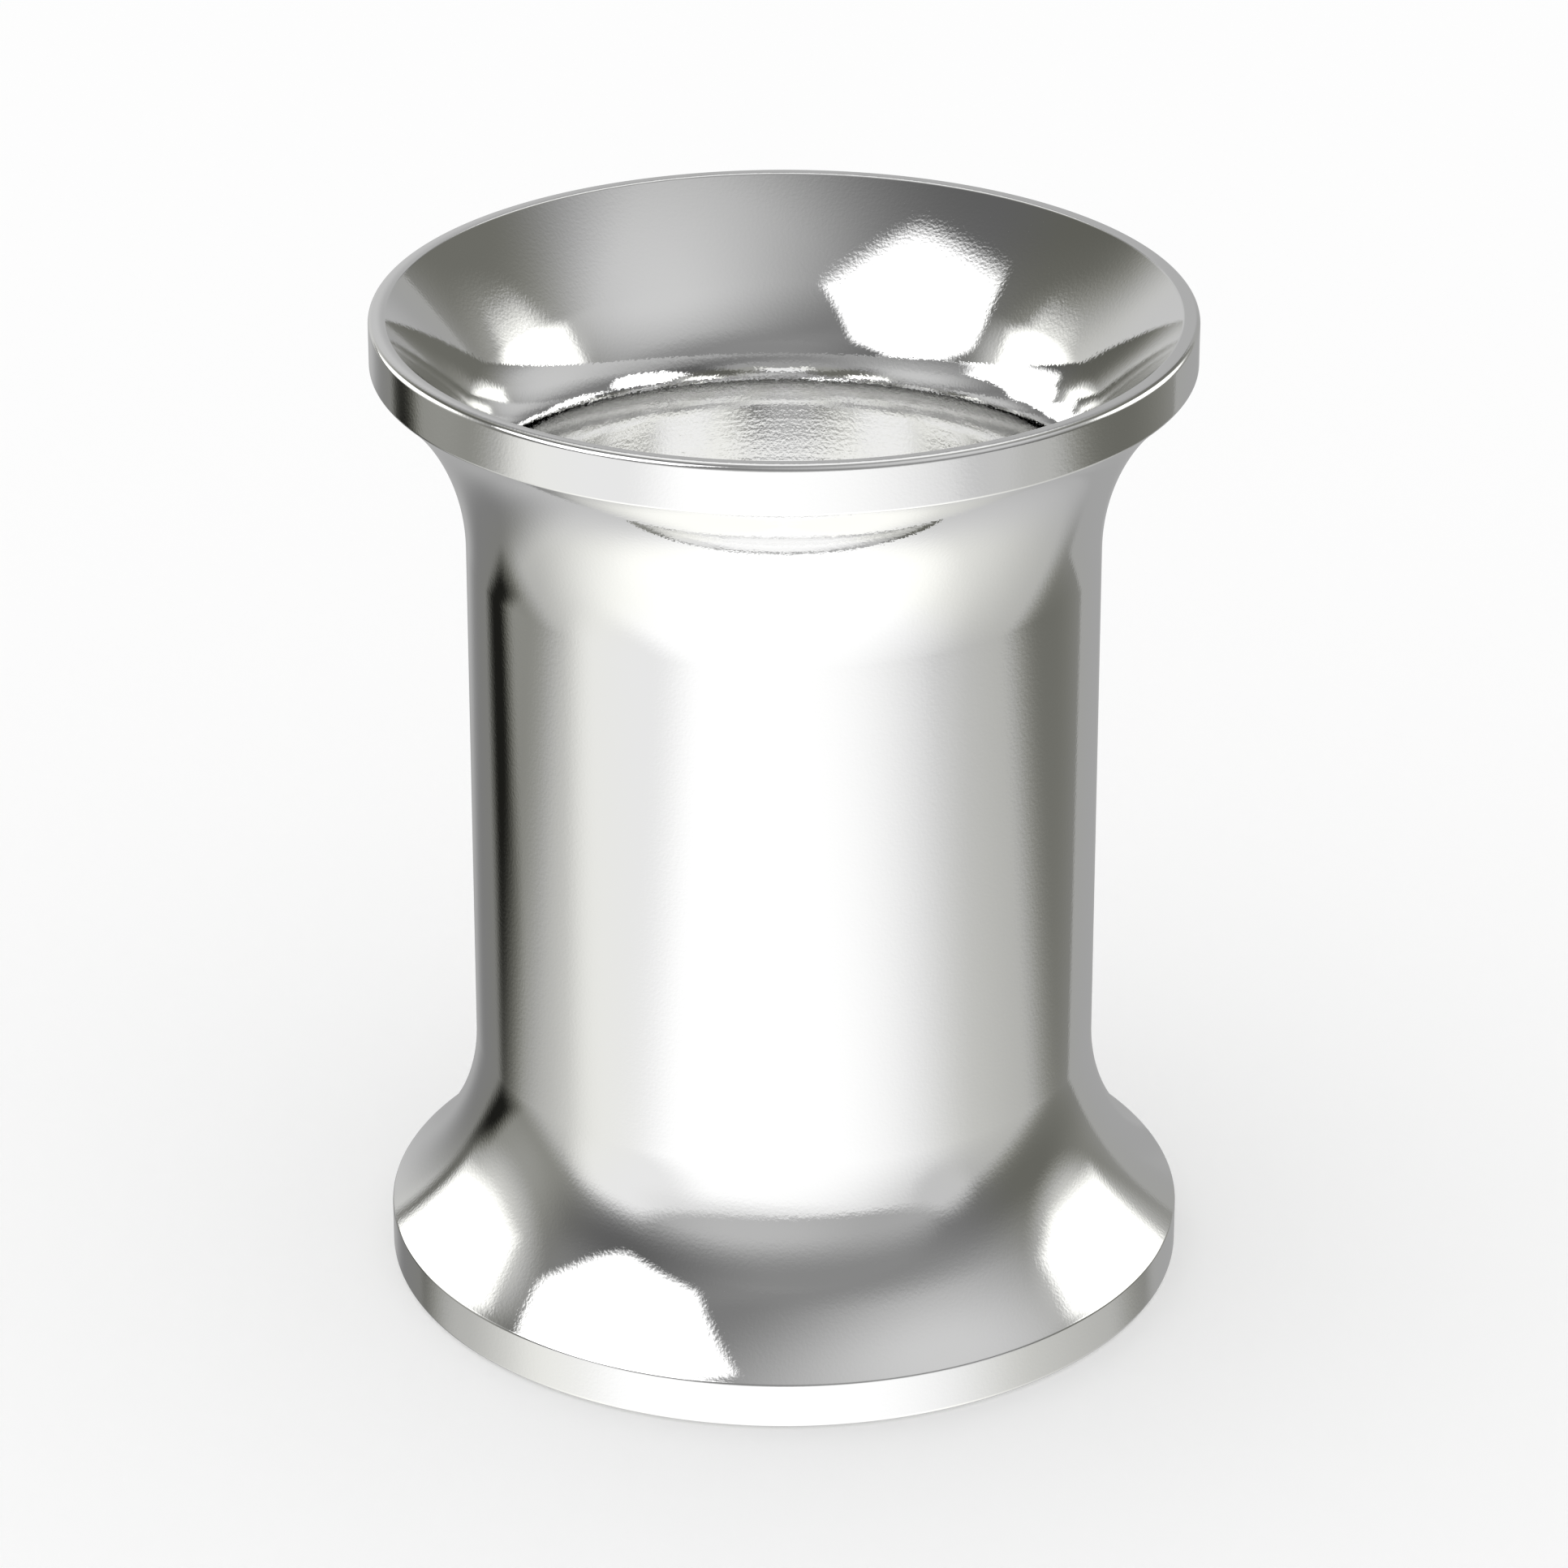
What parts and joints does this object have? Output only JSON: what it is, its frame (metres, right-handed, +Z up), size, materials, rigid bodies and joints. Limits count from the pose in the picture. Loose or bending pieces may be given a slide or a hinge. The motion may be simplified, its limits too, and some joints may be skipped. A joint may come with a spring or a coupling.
{
  "type": "ear tunnel",
  "caption": "Double-flared hollow ear tunnel of polished steel, with flat-banded rims, shallow dished ends and a straight open bore.",
  "frame": {"origin": "on the bore's axis, in the plane that the lower rim's flat land rests on", "axes": "+Z up along the bore from the lower rim to the upper rim; +X and +Y are across it, and any turn about Z looks the same"},
  "size_m": [0.0104, 0.0104, 0.013],
  "materials": {
    "polished_steel": "mirror-polished surgical steel, bare metal with a very fine lathe grain"
  },
  "bodies": {
    "root": {"tunnel_body": "polished_steel"}
  },
  "joints": []
}
